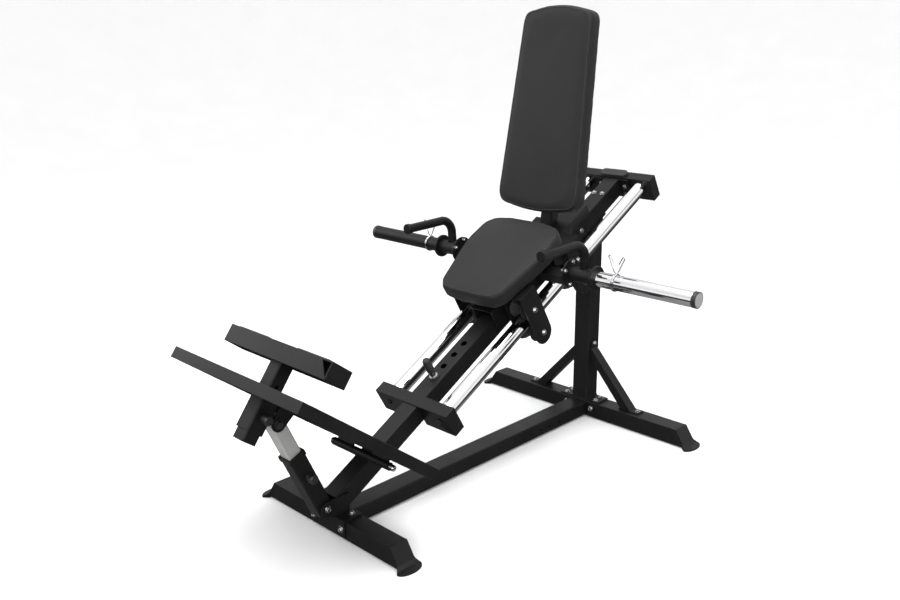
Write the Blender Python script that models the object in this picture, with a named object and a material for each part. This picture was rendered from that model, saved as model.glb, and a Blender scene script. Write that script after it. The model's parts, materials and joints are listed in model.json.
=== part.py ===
import math

import bmesh
import bpy
from mathutils import Matrix, Vector

# Y shift that centres the machine's bounding box on the origin
shiftY = 0.2466

# clearance between pieces that touch
gap = 0.0003

# rail frame: X across, S up along the rail, N out of its top face
railAngle = math.radians(29.35)
railStart = Vector((0.0, shiftY - 0.872, 0.103))
railHalf = 0.0325
railHeight = 0.066
railEnd = 1.6545
tubeX = 0.117
tubeN = -0.031
tubeRadius = 0.026
lowerBar = (0.434, 0.478)
upperBar = (1.66, 1.70)
barHalf = 0.166
barTop = 0.004
barBottom = -0.087
pinHoles = (0.5625, 0.6135, 0.6695, 0.7245)
pinRadius = 0.0106

# base
stabTop = 0.0645
frontY = (shiftY - 0.841, shiftY - 0.775)
rearY = (shiftY + 0.408, shiftY + 0.480)
frontTop = 0.278
rearTop = 0.433
endLean = 0.032
footReach = 0.043
beamHalf = 0.038
beamZ = (0.008, 0.0615)
uprightHalf = 0.0345
uprightY = shiftY + 0.4475
braceTop = 0.277
braceFoot = 0.235

# carriage
lowerRollers = 0.923
upperRollers = 1.185
seatMember = 1.135
axleReach = 0.0515
rollerHalf = 0.026
rollerRadius = 0.0375
plateInner = 0.0785
plateOuter = 0.170
plateThick = 0.0045
plateHalf = 0.040
webTop = 0.098
axleRadius = 0.006
beamTop = 0.045
memberTop = 0.0787
postMember = 1.257
carriageSpan = (0.845, 1.44)
seatStart = (0.816, 0.0967)
seatLean = math.radians(2.6)
seatThick = 0.056
seatLength = 0.372
seatFront = 0.141
seatBack = 0.176
boardDepth = 0.012
backBase = Vector((0.0, shiftY + 0.116, 0.867))
backLean = math.radians(9.1)
backLength = 0.673
backTop = 0.146
backBottom = 0.176
padThick = 0.056
boardThick = 0.014

# weight horns
hornS = 1.060
hornN = 0.0847
hornRadius = 0.025
discX = (0.2450, 0.2510)
discRadius = 0.048
stopX = (0.343, 0.353)
stopRadius = 0.041
hornTip = 0.715
handleX = 0.300
handleRadius = 0.0155
gripRadius = 0.0185
collarX = 0.418

# footplate frame: X across, S down the plate from its front edge, H out of its top face
plateAngle = math.radians(37.3)
plateStart = Vector((0.0, shiftY - 1.1247, 0.6033))
plateHalfWidth = 0.3056
plateLength = 0.586
plateSheet = 0.004
plateFlange = 0.0345
hingeS = 0.204
hingeN = 0.0135
hingeRadius = 0.0128
hingePin = 0.006
hingeHalf = 0.134
postS = 0.1354
postHalf = 0.025
sleeveHalf = 0.0292
sleeveBottom = -0.128
postBottom = -0.157
blockHalf = 0.2375
blockSpan = (0.091, 0.171)
blockTop = 0.129
blockDepth = 0.0535
earPin = (0.1955, -0.0765)

# strut frame: X across, D out of its rear face, T up along the strut
strutPivot = Vector((0.0, shiftY - 0.869, 0.102))
strutLean = math.radians(24.3)
strutHalf = 0.0275
strutTop = 0.225
innerHalf = 0.0232
strutKnobT = 0.138


def frameMatrix(origin, second, third):
    """Matrix whose columns are X, the second axis and the third axis."""
    rows = [(1.0, second[0], third[0]), (0.0, second[1], third[1]), (0.0, second[2], third[2])]
    turn = Matrix(rows)
    return Matrix.Translation(origin) @ turn.to_4x4()


def leaned(angle):
    return (0.0, math.cos(angle), math.sin(angle)), (0.0, -math.sin(angle), math.cos(angle))


world = Matrix.Identity(4)
rail = frameMatrix(railStart, *leaned(railAngle))
plate = frameMatrix(
    plateStart,
    (0.0, math.cos(plateAngle), -math.sin(plateAngle)),
    (0.0, math.sin(plateAngle), math.cos(plateAngle)),
)
strut = frameMatrix(
    strutPivot,
    (0.0, math.cos(strutLean), math.sin(strutLean)),
    (0.0, -math.sin(strutLean), math.cos(strutLean)),
)
back = frameMatrix(
    backBase,
    (0.0, math.cos(backLean), -math.sin(backLean)),
    (0.0, math.sin(backLean), math.cos(backLean)),
)

seatFrame = rail @ Matrix.Translation((0.0, *seatStart)) @ Matrix.Rotation(seatLean, 4, "X")

paints = {
    "black": ((0.030, 0.030, 0.031), 0.45, 0.3),
    "vinyl": ((0.045, 0.045, 0.046), 0.60, 0.0),
    "chrome": ((0.80, 0.80, 0.80), 0.10, 1.0),
    "zinc": ((0.55, 0.55, 0.56), 0.30, 1.0),
    "rubber": ((0.020, 0.020, 0.020), 0.70, 0.0),
    "plastic": ((0.025, 0.025, 0.026), 0.50, 0.0),
    "silver": ((0.42, 0.42, 0.41), 0.45, 0.5),
    "wood": ((0.35, 0.24, 0.14), 0.70, 0.0),
}


def clearScene():
    for thing in list(bpy.data.objects):
        bpy.data.objects.remove(thing, do_unlink=True)


def paint(name, kind):
    colour, roughness, metallic = paints[kind]
    material = bpy.data.materials.new(name)
    material.use_nodes = True
    surface = material.node_tree.nodes["Principled BSDF"]
    surface.inputs["Base Color"].default_value = (*colour, 1.0)
    surface.inputs["Roughness"].default_value = roughness
    surface.inputs["Metallic"].default_value = metallic
    return material


def finish(name, shape, frame, kind):
    """Turn a bmesh into one named object placed and turned by its frame."""
    bmesh.ops.recalc_face_normals(shape, faces=shape.faces)
    mesh = bpy.data.meshes.new(name)
    shape.to_mesh(mesh)
    shape.free()
    mesh.shade_smooth()
    mesh.set_sharp_from_angle(angle=math.radians(30))
    made = bpy.data.objects.new(name, mesh)
    made.matrix_world = frame
    bpy.context.scene.collection.objects.link(made)
    mesh.materials.append(paint(name, kind))
    return made


def combine(target, tool, operation):
    """Cut, or weld on, a helper object that is not itself a part."""
    step = target.modifiers.new(tool.name, "BOOLEAN")
    step.object = tool
    step.operation = operation
    step.solver = "EXACT"
    tool.hide_render = True
    tool.display_type = "WIRE"


def cut(target, *tools):
    for tool in tools:
        combine(target, tool, "DIFFERENCE")


def weld(target, *tools):
    for tool in tools:
        combine(target, tool, "UNION")


def soften(target, width, steps=2):
    """Round off the corners; called before any cut so that only outer corners are touched."""
    edges = target.modifiers.new("edges", "BEVEL")
    edges.width = width
    edges.segments = steps
    edges.limit_method = "ANGLE"
    edges.angle_limit = math.radians(50)


def box(name, low, high, frame=world, kind="black"):
    shape = bmesh.new()
    corners = []
    for x in (low[0], high[0]):
        for y in (low[1], high[1]):
            for z in (low[2], high[2]):
                corners.append(shape.verts.new((x, y, z)))
    for face in ((0, 1, 3, 2), (4, 6, 7, 5), (0, 4, 5, 1), (2, 3, 7, 6), (0, 2, 6, 4), (1, 5, 7, 3)):
        shape.faces.new([corners[n] for n in face])
    return finish(name, shape, frame, kind)


def joinRings(shape, first, second):
    count = len(first)
    for n in range(count):
        after = (n + 1) % count
        shape.faces.new((first[n], first[after], second[after], second[n]))


def prism(name, outline, low, high, axis, frame=world, kind="black"):
    """Extrude an outline along local axis 0, 1 or 2; outline points are the other two coordinates."""
    shape = bmesh.new()
    rings = []
    for level in (low, high):
        ring = []
        for a, b in outline:
            place = [a, b]
            place.insert(axis, level)
            ring.append(shape.verts.new(place))
        rings.append(ring)
    joinRings(shape, rings[0], rings[1])
    shape.faces.new(rings[0])
    shape.faces.new(rings[1])
    return finish(name, shape, frame, kind)


def roundedOutline(halfA, halfB, radius, steps=3, centre=(0.0, 0.0)):
    points = []
    for quarter, (sideA, sideB) in enumerate(((1, 1), (-1, 1), (-1, -1), (1, -1))):
        for n in range(steps + 1):
            turn = math.pi / 2 * (quarter + n / steps)
            a = centre[0] + sideA * (halfA - radius) + radius * math.cos(turn)
            b = centre[1] + sideB * (halfB - radius) + radius * math.sin(turn)
            points.append((a, b))
    return points


def placed(a, b, along, axis):
    spot = [a, b]
    spot.insert(axis, along)
    return spot


def hollowBar(name, centre, half, span, axis, wall=0.003, frame=world, kind="black", skew=(0.0, 0.0)):
    """Rectangular tube with rounded corners, open at both ends; skew slopes an end."""
    shape = bmesh.new()
    rings = []
    for inset in (0.0, wall):
        radius = max(0.0045 - inset, 0.0012)
        outline = roundedOutline(half[0] - inset, half[1] - inset, radius, centre=centre)
        for level, lean in zip(span, skew):
            ring = [shape.verts.new(placed(a, b, level + lean * b, axis)) for a, b in outline]
            rings.append(ring)
    joinRings(shape, rings[0], rings[1])
    joinRings(shape, rings[3], rings[2])
    joinRings(shape, rings[2], rings[0])
    joinRings(shape, rings[1], rings[3])
    return finish(name, shape, frame, kind)


def turned(name, profile, frame=world, kind="black", segments=24, axis=0, centre=(0.0, 0.0)):
    """Revolve a closed profile of (along, radius) points about a line parallel to a local axis."""
    shape = bmesh.new()
    rings = []
    for along, radius in profile:
        if radius < 1e-6:
            rings.append([shape.verts.new(placed(*centre, along, axis))])
            continue
        ring = []
        for n in range(segments):
            turn = 2 * math.pi * n / segments
            a = centre[0] + radius * math.cos(turn)
            b = centre[1] + radius * math.sin(turn)
            ring.append(shape.verts.new(placed(a, b, along, axis)))
        rings.append(ring)
    for n, ring in enumerate(rings):
        other = rings[(n + 1) % len(rings)]
        if len(ring) == 1 and len(other) == 1:
            continue
        if len(ring) > 1 and len(other) > 1:
            joinRings(shape, ring, other)
            continue
        tip, edge = (ring[0], other) if len(ring) == 1 else (other[0], ring)
        for k in range(segments):
            shape.faces.new((tip, edge[k], edge[(k + 1) % segments]))
    return finish(name, shape, frame, kind)


def rod(name, low, high, radius, axis, centre, frame=world, kind="zinc", segments=20):
    profile = [(low, 0.0), (low, radius), (high, radius), (high, 0.0)]
    return turned(name, profile, frame, kind, segments, axis, centre)


def pipe(name, low, high, radius, wall, axis, centre, frame=world, kind="black", segments=28):
    profile = [(low, radius - wall), (low, radius), (high, radius), (high, radius - wall)]
    return turned(name, profile, frame, kind, segments, axis, centre)


def bentRod(name, path, radius, kind="black", segments=14):
    """Round bar along a path of (y, z) points in one plane of constant x."""
    shape = bmesh.new()
    rings = []
    x = path[0]
    points = path[1]
    for n, point in enumerate(points):
        before = points[max(n - 1, 0)]
        after = points[min(n + 1, len(points) - 1)]
        along = Vector((0.0, after[0] - before[0], after[1] - before[1])).normalized()
        side = Vector((1.0, 0.0, 0.0))
        up = side.cross(along)
        centre = Vector((x, point[0], point[1]))
        ring = []
        for k in range(segments):
            turn = 2 * math.pi * k / segments
            reach = side * radius * math.cos(turn) + up * radius * math.sin(turn)
            ring.append(shape.verts.new(centre + reach))
        rings.append(ring)
    for first, second in zip(rings, rings[1:]):
        joinRings(shape, first, second)
    shape.faces.new(rings[0])
    shape.faces.new(rings[-1])
    return finish(name, shape, world, kind)


def sides():
    return (("left", -1.0), ("right", 1.0))


def stabiliser(name, spanY, topHalf):
    bottomHalf = topHalf + endLean
    outline = [(-bottomHalf, 0.0045), (bottomHalf, 0.0045), (topHalf, stabTop), (-topHalf, stabTop)]
    body = prism(name, outline, spanY[0], spanY[1], 1)
    soften(body, 0.002)
    inner = [
        (-bottomHalf - 0.1, 0.0085),
        (bottomHalf + 0.1, 0.0085),
        (bottomHalf + 0.1, stabTop - 0.004),
        (-bottomHalf - 0.1, stabTop - 0.004),
    ]
    cut(body, prism(name + "_hollow", inner, spanY[0] + 0.004, spanY[1] - 0.004, 1))
    return body


def foot(name, spanY, topHalf, side):
    """End plate that flares into a rounded tongue on the floor."""
    sheet = 0.004
    slope = endLean / (stabTop - 0.0045)
    face = topHalf + gap
    low = face + slope * (stabTop - 0.012)
    tip = topHalf + endLean + footReach
    outline = [
        (side * face, stabTop),
        (side * (low + 0.0002), 0.012),
        (side * (low + 0.006), 0.0041),
        (side * (low + 0.006), 0.0),
        (side * tip, 0.0),
        (side * tip, 0.005),
        (side * (low + 0.020), 0.0072),
        (side * (low + sheet + 0.004), 0.016),
        (side * (face + sheet), stabTop),
    ]
    middle = (spanY[0] + spanY[1]) / 2
    half = (spanY[1] - spanY[0]) / 2
    body = prism(name, outline, middle - half - 0.018, middle + half + 0.014, 1)
    plan = [(side * (face - 0.05), middle - half), (side * (low + 0.004), middle - half)]
    for n in range(11):
        turn = math.pi * (n / 10 - 0.5)
        reach = tip - low - 0.022
        along = middle - 0.004 + (half + 0.013) * math.sin(turn)
        plan.append((side * (low + 0.022 + reach * math.cos(turn)), along))
    plan.append((side * (low + 0.004), middle + half))
    plan.append((side * (face - 0.05), middle + half))
    combine(body, prism(name + "_plan", plan, -0.05, 0.2, 2), "INTERSECT")
    return body


def stabilisersAndFeet():
    for name, spanY, topHalf in (("front", frontY, frontTop), ("rear", rearY, rearTop)):
        stabiliser(name + "_stabiliser", spanY, topHalf)
        for word, side in sides():
            foot("foot_" + name + "_" + word, spanY, topHalf, side)


def baseBeam():
    span = (frontY[1] + gap, rearY[0] - gap)
    centre = (0.0, (beamZ[0] + beamZ[1]) / 2)
    half = (beamHalf, (beamZ[1] - beamZ[0]) / 2)
    beam = hollowBar("base_beam", centre, half, span, 1)
    for n, y in enumerate((0.240, 0.185, 0.130, 0.075)):
        spot = (shiftY + y, 0.030)
        cut(beam, rod("beam_hole_%d" % n, beamHalf - 0.01, beamHalf + 0.01, 0.0045, 0, spot, segments=12))


def frontBracket():
    """Saddle over the front stabiliser with the two ears of the strut pivot."""
    near = frontY[0] - 0.005
    top = box("front_bracket", (-0.083, near, stabTop + gap), (0.083, frontY[1], stabTop + 0.005))
    outline = [(-0.083, 0.012), (0.083, 0.012), (0.083, stabTop + 0.005), (-0.083, stabTop + 0.005)]
    front = prism("bracket_front", outline, near, frontY[0] - gap, 1)
    weld(top, front)
    for word, side in sides():
        ear = [(frontY[0] - 0.001, stabTop + 0.0025), (strutPivot[1] - 0.004, stabTop + 0.0145)]
        for n in range(9):
            turn = math.radians(230 - 160 * n / 8)
            ear.append((strutPivot[1] + 0.024 * math.cos(turn), strutPivot[2] + 0.024 * math.sin(turn)))
        ear.append((frontY[0] + 0.010, stabTop + 0.0625))
        ear.append((frontY[0] + 0.055, stabTop + 0.0625))
        ear.append((frontY[0] + 0.055, stabTop + 0.002))
        span = sorted((side * 0.0334, side * 0.0384))
        weld(top, prism("bracket_ear_" + word, ear, span[0], span[1], 0))
    cut(top, rod("bracket_bore", -0.06, 0.06, 0.0061, 0, (strutPivot[1], strutPivot[2])))


def strutPivotPin():
    low = -0.0455
    profile = [
        (low, 0.0),
        (low, 0.0105),
        (-0.0388, 0.0105),
        (-0.0388, 0.006),
        (0.0388, 0.006),
        (0.0388, 0.0105),
        (-low, 0.0105),
        (-low, 0.0),
    ]
    turned("strut_pivot_pin", profile, kind="zinc", centre=(strutPivot[1], strutPivot[2]))


def upright():
    under = railHeight + gap + 0.005
    rise = math.tan(railAngle)
    level = railStart[2] - (railStart[1]) * rise - under / math.cos(railAngle)
    span = (stabTop + 0.0055, level)
    post = hollowBar(
        "upright", (0.0, uprightY), (uprightHalf, uprightHalf), span, 2, skew=(0.0, rise)
    )
    low = (-0.090, rearY[0] + 0.002, stabTop + gap)
    base = box("upright_base", low, (0.090, rearY[1] - 0.002, stabTop + 0.0062))
    s = (uprightY - railStart[1]) / math.cos(railAngle)
    n = -(railHeight + gap)
    cap = box("upright_cap", (-0.032, s - 0.085, n - 0.006), (0.032, s + 0.020, n), rail)
    weld(post, base, cap)
    cut(post, rod("upright_drain", 0.0, stabTop + 0.02, 0.018, 2, (0.0, uprightY)))


def brace(name, side):
    """Bar from the upright's side down to the stabiliser, with a bolting tab at each end."""
    top = stabTop + gap
    inner = uprightHalf + gap
    outline = [
        (inner, braceTop + 0.030),
        (inner, braceTop - 0.042),
        (inner + 0.004, braceTop - 0.046),
        (braceFoot - 0.052, top + 0.0045),
        (braceFoot - 0.060, top + 0.0045),
        (braceFoot - 0.060, top),
        (braceFoot + 0.026, top),
        (braceFoot + 0.026, top + 0.0045),
        (braceFoot - 0.008, top + 0.0045),
        (inner + 0.0045, braceTop - 0.002),
        (inner + 0.0045, braceTop + 0.030),
    ]
    outline = [(side * a, b) for a, b in outline]
    prism(name, outline, uprightY - 0.020, uprightY + 0.020, 1)


def mainRail():
    body = hollowBar(
        "main_rail", (0.0, -railHeight / 2), (railHalf, railHeight / 2), (0.045, railEnd), 1, frame=rail
    )
    floor = box("rail_foot_cut", (-0.05, frontY[0] - 0.1, -0.05), (0.05, frontY[1] + 0.08, stabTop + 0.0053))
    cut(body, floor)
    flange = box("rail_flange", (-0.072, railEnd - 0.001, -0.078), (0.072, upperBar[0] - gap, -0.001), rail)
    weld(body, flange)
    for n, s in enumerate(pinHoles):
        cut(body, rod("pin_hole_%d" % n, -0.02, 0.02, pinRadius + 0.0006, 2, (0.0, s), rail, segments=20))


def crossbar(name, span, half, tunnel):
    """Folded channel across the rail, open underneath, closed at both ends."""
    body = box(name, (-half, span[0], barBottom), (half, span[1], barTop), rail)
    soften(body, 0.0015)
    hollow = box(
        name + "_hollow",
        (-half + 0.005, span[0] + 0.005, barBottom - 0.02),
        (half - 0.005, span[1] - 0.005, barTop - 0.0035),
        rail,
    )
    cut(body, hollow)
    if tunnel:
        way = box(
            name + "_tunnel",
            (-railHalf - gap, span[0] - 0.02, barBottom - 0.01),
            (railHalf + gap, span[1] + 0.02, gap),
            rail,
        )
        cut(body, way)


def topBumper():
    outline = []
    middle = (upperBar[0] + upperBar[1]) / 2
    for n in range(20):
        turn = 2 * math.pi * n / 20
        shift = 0.040 if math.cos(turn) > 0 else -0.040
        outline.append((shift + 0.018 * math.cos(turn), middle + 0.018 * math.sin(turn)))
    prism("top_bumper", outline, barTop + gap, barTop + 0.009, 2, rail, "rubber")


def guideTube(name, side):
    span = (lowerBar[1] + gap, upperBar[0] - gap)
    pipe(name, span[0], span[1], tubeRadius, 0.003, 1, (side * tubeX, tubeN), rail, "chrome", 32)


def stopPin():
    s = pinHoles[0]
    profile = [
        (-0.024, 0.0),
        (-0.024, pinRadius - 0.002),
        (-0.022, pinRadius),
        (gap, pinRadius),
        (gap, 0.0145),
        (0.0070, 0.0145),
        (0.0070, pinRadius),
        (0.0250, pinRadius),
        (0.0250, 0.0),
    ]
    turned("stop_pin", profile, rail, "zinc", 24, 2, (0.0, s))
    grip = [
        (0.0250 + gap, 0.0),
        (0.0250 + gap, 0.0120),
        (0.0300, 0.0135),
        (0.0740, 0.0135),
        (0.0790, 0.0110),
        (0.0790, 0.0),
    ]
    turned("stop_knob", grip, rail, "rubber", 24, 2, (0.0, s))


def channel(name, half, span, low, high, wall, frame):
    """Inverted channel made as one closed outline."""
    outline = [
        (-half, low),
        (-half, high),
        (half, high),
        (half, low),
        (half - wall, low),
        (half - wall, high - wall),
        (-half + wall, high - wall),
        (-half + wall, low),
    ]
    return prism(name, outline, span[0], span[1], 1, frame)


def carriageFrame():
    """Channel over the rail, the two roller cross members and the horn cross member, welded up."""
    body = channel("carriage_frame", 0.045, carriageSpan, -0.045, beamTop, 0.005, rail)
    low = beamTop - 0.002
    width = plateInner - gap
    reach = discX[0] - gap
    for n, s in enumerate((lowerRollers, seatMember, upperRollers, postMember)):
        half = 0.045 if s == postMember else 0.020
        weld(body, box("member_%d" % n, (-width, s - half, low), (width, s + half, memberTop), rail))
    for n, s in enumerate((lowerRollers, seatMember)):
        spot = s - seatStart[0]
        foot = (-0.060, spot - 0.016, -0.045)
        weld(body, box("seat_foot_%d" % n, foot, (0.060, spot + 0.016, -boardDepth - 2 * gap), seatFrame))
    weld(body, box("horn_member", (-reach, hornS - 0.0205, low), (reach, hornS + 0.0205, memberTop), rail))


def rollerBracket(name, s, side):
    """Inner and outer plate joined by a top web, with the two roller axles welded in."""
    outline = [(s + plateHalf, webTop), (s - plateHalf, webTop)]
    for n in range(13):
        turn = math.pi + math.pi * n / 12
        level = tubeN - axleReach - 0.002 + plateHalf * math.sin(turn)
        outline.append((s + plateHalf * math.cos(turn), level))
    outer = sorted((side * (plateOuter - plateThick), side * plateOuter))
    inner = sorted((side * plateInner, side * (plateInner + plateThick)))
    body = prism(name, outline, outer[0], outer[1], 0, rail)
    weld(body, prism(name + "_inner", outline, inner[0], inner[1], 0, rail))
    span = sorted((side * (plateInner + 0.001), side * (plateOuter - 0.001)))
    web = box(
        name + "_web", (span[0], s - plateHalf, webTop - plateThick), (span[1], s + plateHalf, webTop), rail
    )
    weld(body, web)
    for n, direction in enumerate((-1, 1)):
        spot = (s, tubeN + direction * axleReach)
        weld(body, rod(name + "_axle_%d" % n, span[0], span[1], axleRadius, 0, spot, rail, segments=16))


def roller(name, s, side, direction):
    """Grooved roller; the groove follows the guide tube with running clearance."""
    bore = axleRadius + 0.0003
    reach = tubeRadius + 0.0010
    profile = [(-rollerHalf, bore), (-rollerHalf, rollerRadius)]
    spread = math.acos((axleReach - rollerRadius) / reach)
    for n in range(6):
        turn = spread * (2 * n / 5 - 1)
        profile.append((reach * math.sin(turn), axleReach - reach * math.cos(turn)))
    profile = profile + [(rollerHalf, rollerRadius), (rollerHalf, bore)]
    profile = [(side * tubeX + along, radius) for along, radius in profile]
    turned(name, profile, rail, "rubber", 18, 0, (s, tubeN + direction * axleReach))


def carriageRollers():
    for level, s in (("lower", lowerRollers), ("upper", upperRollers)):
        for word, side in sides():
            rollerBracket("roller_bracket_%s_%s" % (level, word), s, side)
            for place, direction in (("top", 1), ("under", -1)):
                roller("roller_%s_%s_%s" % (level, word, place), s, side, direction)


def seatOutline(inset):
    """Tapered seat with chamfered corners, as (x, along) points."""
    front = seatFront - inset
    rear = seatBack - inset
    high = seatLength - inset
    half = [
        (front - 0.075, inset - 0.001),
        (front - 0.028, inset + 0.006),
        (front - 0.004, inset + 0.036),
        (rear - 0.006, high - 0.175),
        (rear, high - 0.125),
        (rear - 0.010, high - 0.040),
        (rear - 0.040, high - 0.010),
        (rear - 0.100, high + 0.002),
    ]
    return half + [(-x, s) for x, s in reversed(half)]


def seat():
    top = -gap
    low = (-0.075, 0.045, top - boardDepth)
    box("seat_board", low, (0.075, seatLength - 0.028, top), seatFrame, "wood")
    pad = prism("seat_pad", seatOutline(0.0), 0.0, seatThick, 2, seatFrame, "vinyl")
    soften(pad, 0.006)


def backOutline(inset):
    """Backrest outline, wider at the bottom, as (x, up) points."""
    top = backTop - inset
    bottom = backBottom - inset
    low = inset
    high = backLength - inset
    half = []
    for n in range(5):
        half.append(((bottom - 0.055) * n / 4, low - 0.012 + 0.012 * (n / 4) ** 2))
    for n in range(1, 6):
        turn = math.radians(-90 + 84 * n / 5)
        half.append((bottom - 0.045 + 0.045 * math.cos(turn), low + 0.046 + 0.045 * math.sin(turn)))
    for n in range(6):
        turn = math.radians(4 + 80 * n / 5)
        half.append((top - 0.034 + 0.034 * math.cos(turn), high - 0.040 + 0.034 * math.sin(turn)))
    for n in range(4, -1, -1):
        half.append(((top - 0.044) * n / 4, high + 0.010 - 0.014 * (n / 4) ** 2))
    left = [(-x, up) for x, up in reversed(half[1:-1])]
    return half + left


def backrest():
    low = padThick + gap
    prism("back_board", backOutline(0.020), low, low + boardThick, 1, back, "wood")
    pad = prism("back_pad", backOutline(0.0), 0.0, padThick, 1, back, "vinyl")
    soften(pad, 0.006)


def backPost():
    """Tube behind the back board, cut to stand on the rear cross member."""
    y = padThick + boardThick + 2 * gap + 0.0205
    body = hollowBar("back_post", (0.0, y), (0.025, 0.020), (-0.20, 0.47), 2, frame=back)
    under = box("back_post_cut", (-0.2, 0.8, -0.5), (0.2, 1.9, memberTop + gap), rail)
    cut(body, under)
    return body


def hornArm(name, side):
    """Bolted disc, arm tube and weight stop turned as one piece."""
    wall = 0.006
    profile = [
        (discX[0], 0.012),
        (discX[0], discRadius - 0.002),
        (discX[0] + 0.001, discRadius),
        (discX[1], discRadius),
        (discX[1] + 0.0005, hornRadius),
        (stopX[0], hornRadius),
        (stopX[0], stopRadius - 0.002),
        (stopX[0] + 0.002, stopRadius),
        (stopX[1] - 0.002, stopRadius),
        (stopX[1], stopRadius - 0.002),
        (stopX[1], hornRadius - wall),
        (discX[1] + 0.002, hornRadius - wall),
        (discX[1] + 0.002, 0.012),
    ]
    profile = [(side * along, radius) for along, radius in profile]
    turned(name, profile, rail, "black", 28, 0, (hornS, hornN))


def hornSleeve(name, side, kind):
    profile = [
        (stopX[1] + gap, hornRadius - 0.004),
        (stopX[1] + gap, hornRadius),
        (hornTip - 0.003, hornRadius),
        (hornTip, hornRadius - 0.003),
        (hornTip, 0.0),
        (hornTip - 0.006, 0.0),
        (hornTip - 0.006, hornRadius - 0.004),
    ]
    profile = [(side * along, radius) for along, radius in profile]
    turned(name, profile, rail, kind, 32, 0, (hornS, hornN))


def handle(name, side):
    """Bent tube rising from the horn arm and turning forward, with a thicker end."""
    y = railStart[1] + hornS * math.cos(railAngle) - hornN * math.sin(railAngle)
    z = railStart[2] + hornS * math.sin(railAngle) + hornN * math.cos(railAngle)
    points = [(y + 0.004, z + hornRadius + 0.0012), (y + 0.003, z + 0.046)]
    for n in range(9):
        turn = math.radians(-5 + 88 * n / 8)
        points.append((y - 0.053 + 0.055 * math.cos(turn), z + 0.053 + 0.055 * math.sin(turn)))
    points.append((y - 0.110, z + 0.1060))
    points.append((y - 0.222, z + 0.1040))
    body = bentRod(name, (side * handleX, points), handleRadius)
    lean = math.atan2(0.002, 0.112)
    along = Vector((0.0, math.cos(lean), math.sin(lean)))
    up = Vector((0.0, -math.sin(lean), math.cos(lean)))
    end = Vector((side * handleX, *points[-1]))
    profile = [(-0.001, 0.0), (-0.001, gripRadius - 0.0015), (0.001, gripRadius)]
    profile = profile + [(0.012, gripRadius), (0.012, 0.0)]
    weld(body, turned(name + "_end", profile, frameMatrix(end, along, up), "black", 20, 1))


def springCollar(name, side):
    """Wire coil that clips on the horn, with two upright finger loops."""
    wire = 0.0024
    middle = side * collarX
    outer = hornRadius + 0.0055
    body = pipe(name, middle - 0.006, middle + 0.006, outer, 0.0050, 0, (hornS, hornN), rail, "zinc", 24)
    for n, lean in enumerate((-1, 1)):
        start = Vector((middle + lean * 0.003, hornS - 0.003, hornN + hornRadius + 0.002))
        tip = Vector((middle + 0.006 + lean * 0.026, hornS + 0.016, hornN + hornRadius + 0.054))
        weld(body, loopWire(name + "_loop_%d" % n, start, tip, wire))


def loopWire(name, start, tip, wire):
    """Flat hairpin of wire from start to tip and back, closed at both ends."""
    along = (tip - start).normalized()
    across = Vector((0.0, 1.0, 0.0)).cross(along).normalized()
    normal = along.cross(across)
    length = (tip - start).length
    half = 0.0045
    shape = bmesh.new()
    outline = roundedOutline(half + wire / 2, length / 2, half, 4)
    inner = roundedOutline(half - wire / 2, length / 2 - wire, half - wire, 4)
    rings = []
    for points in (outline, inner):
        for level in (-wire / 2, wire / 2):
            ring = []
            for a, b in points:
                ring.append(shape.verts.new(start + across * a + along * (b + length / 2) + normal * level))
            rings.append(ring)
    joinRings(shape, rings[0], rings[1])
    joinRings(shape, rings[3], rings[2])
    joinRings(shape, rings[2], rings[0])
    joinRings(shape, rings[1], rings[3])
    return finish(name, shape, rail, "zinc")


def footplate():
    """Folded tray, flanges down, with a hole for the calf block post."""
    body = box("footplate", (-plateHalfWidth, 0.0, -plateFlange), (plateHalfWidth, plateLength, 0.0), plate)
    soften(body, 0.0012)
    inner = box(
        "footplate_inner",
        (-plateHalfWidth + plateSheet, plateSheet, -plateFlange - 0.05),
        (plateHalfWidth - plateSheet, plateLength - plateSheet, -plateSheet),
        plate,
    )
    reach = sleeveHalf + 0.001
    way = box("footplate_way", (-reach, postS - reach, -0.02), (reach, postS + reach, 0.02), plate)
    cut(body, inner, way)


def footplateSleeve():
    """Square sleeve under the plate; its top collar closes the gap round the hole."""
    span = (sleeveBottom, 0.0015)
    half = (sleeveHalf, sleeveHalf)
    body = hollowBar("footplate_sleeve", (0.0, postS), half, span, 2, 0.0035, plate)
    cut(body, rod("sleeve_hole", 0.01, 0.05, 0.0066, 0, (postS, -0.080), plate))


def footplateEars():
    """Two rounded ears under the plate joined by a foot plate, for the strut's top pin."""
    top = -plateSheet - gap
    low = earPin[0] - 0.026
    high = earPin[0] + 0.040
    body = box("footplate_ears", (-0.040, low, top - 0.004), (0.040, high, top), plate)
    for word, side in sides():
        outline = [(high, top - 0.002), (low, top - 0.002)]
        for n in range(9):
            turn = math.pi + math.pi * n / 8
            outline.append((earPin[0] + 0.024 * math.cos(turn), earPin[1] + 0.024 * math.sin(turn)))
        span = sorted((side * 0.0272, side * 0.0317))
        weld(body, prism("ear_" + word, outline, span[0], span[1], 0, plate))
    cut(body, rod("ear_bore", -0.05, 0.05, 0.0125, 0, earPin, plate))


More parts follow.
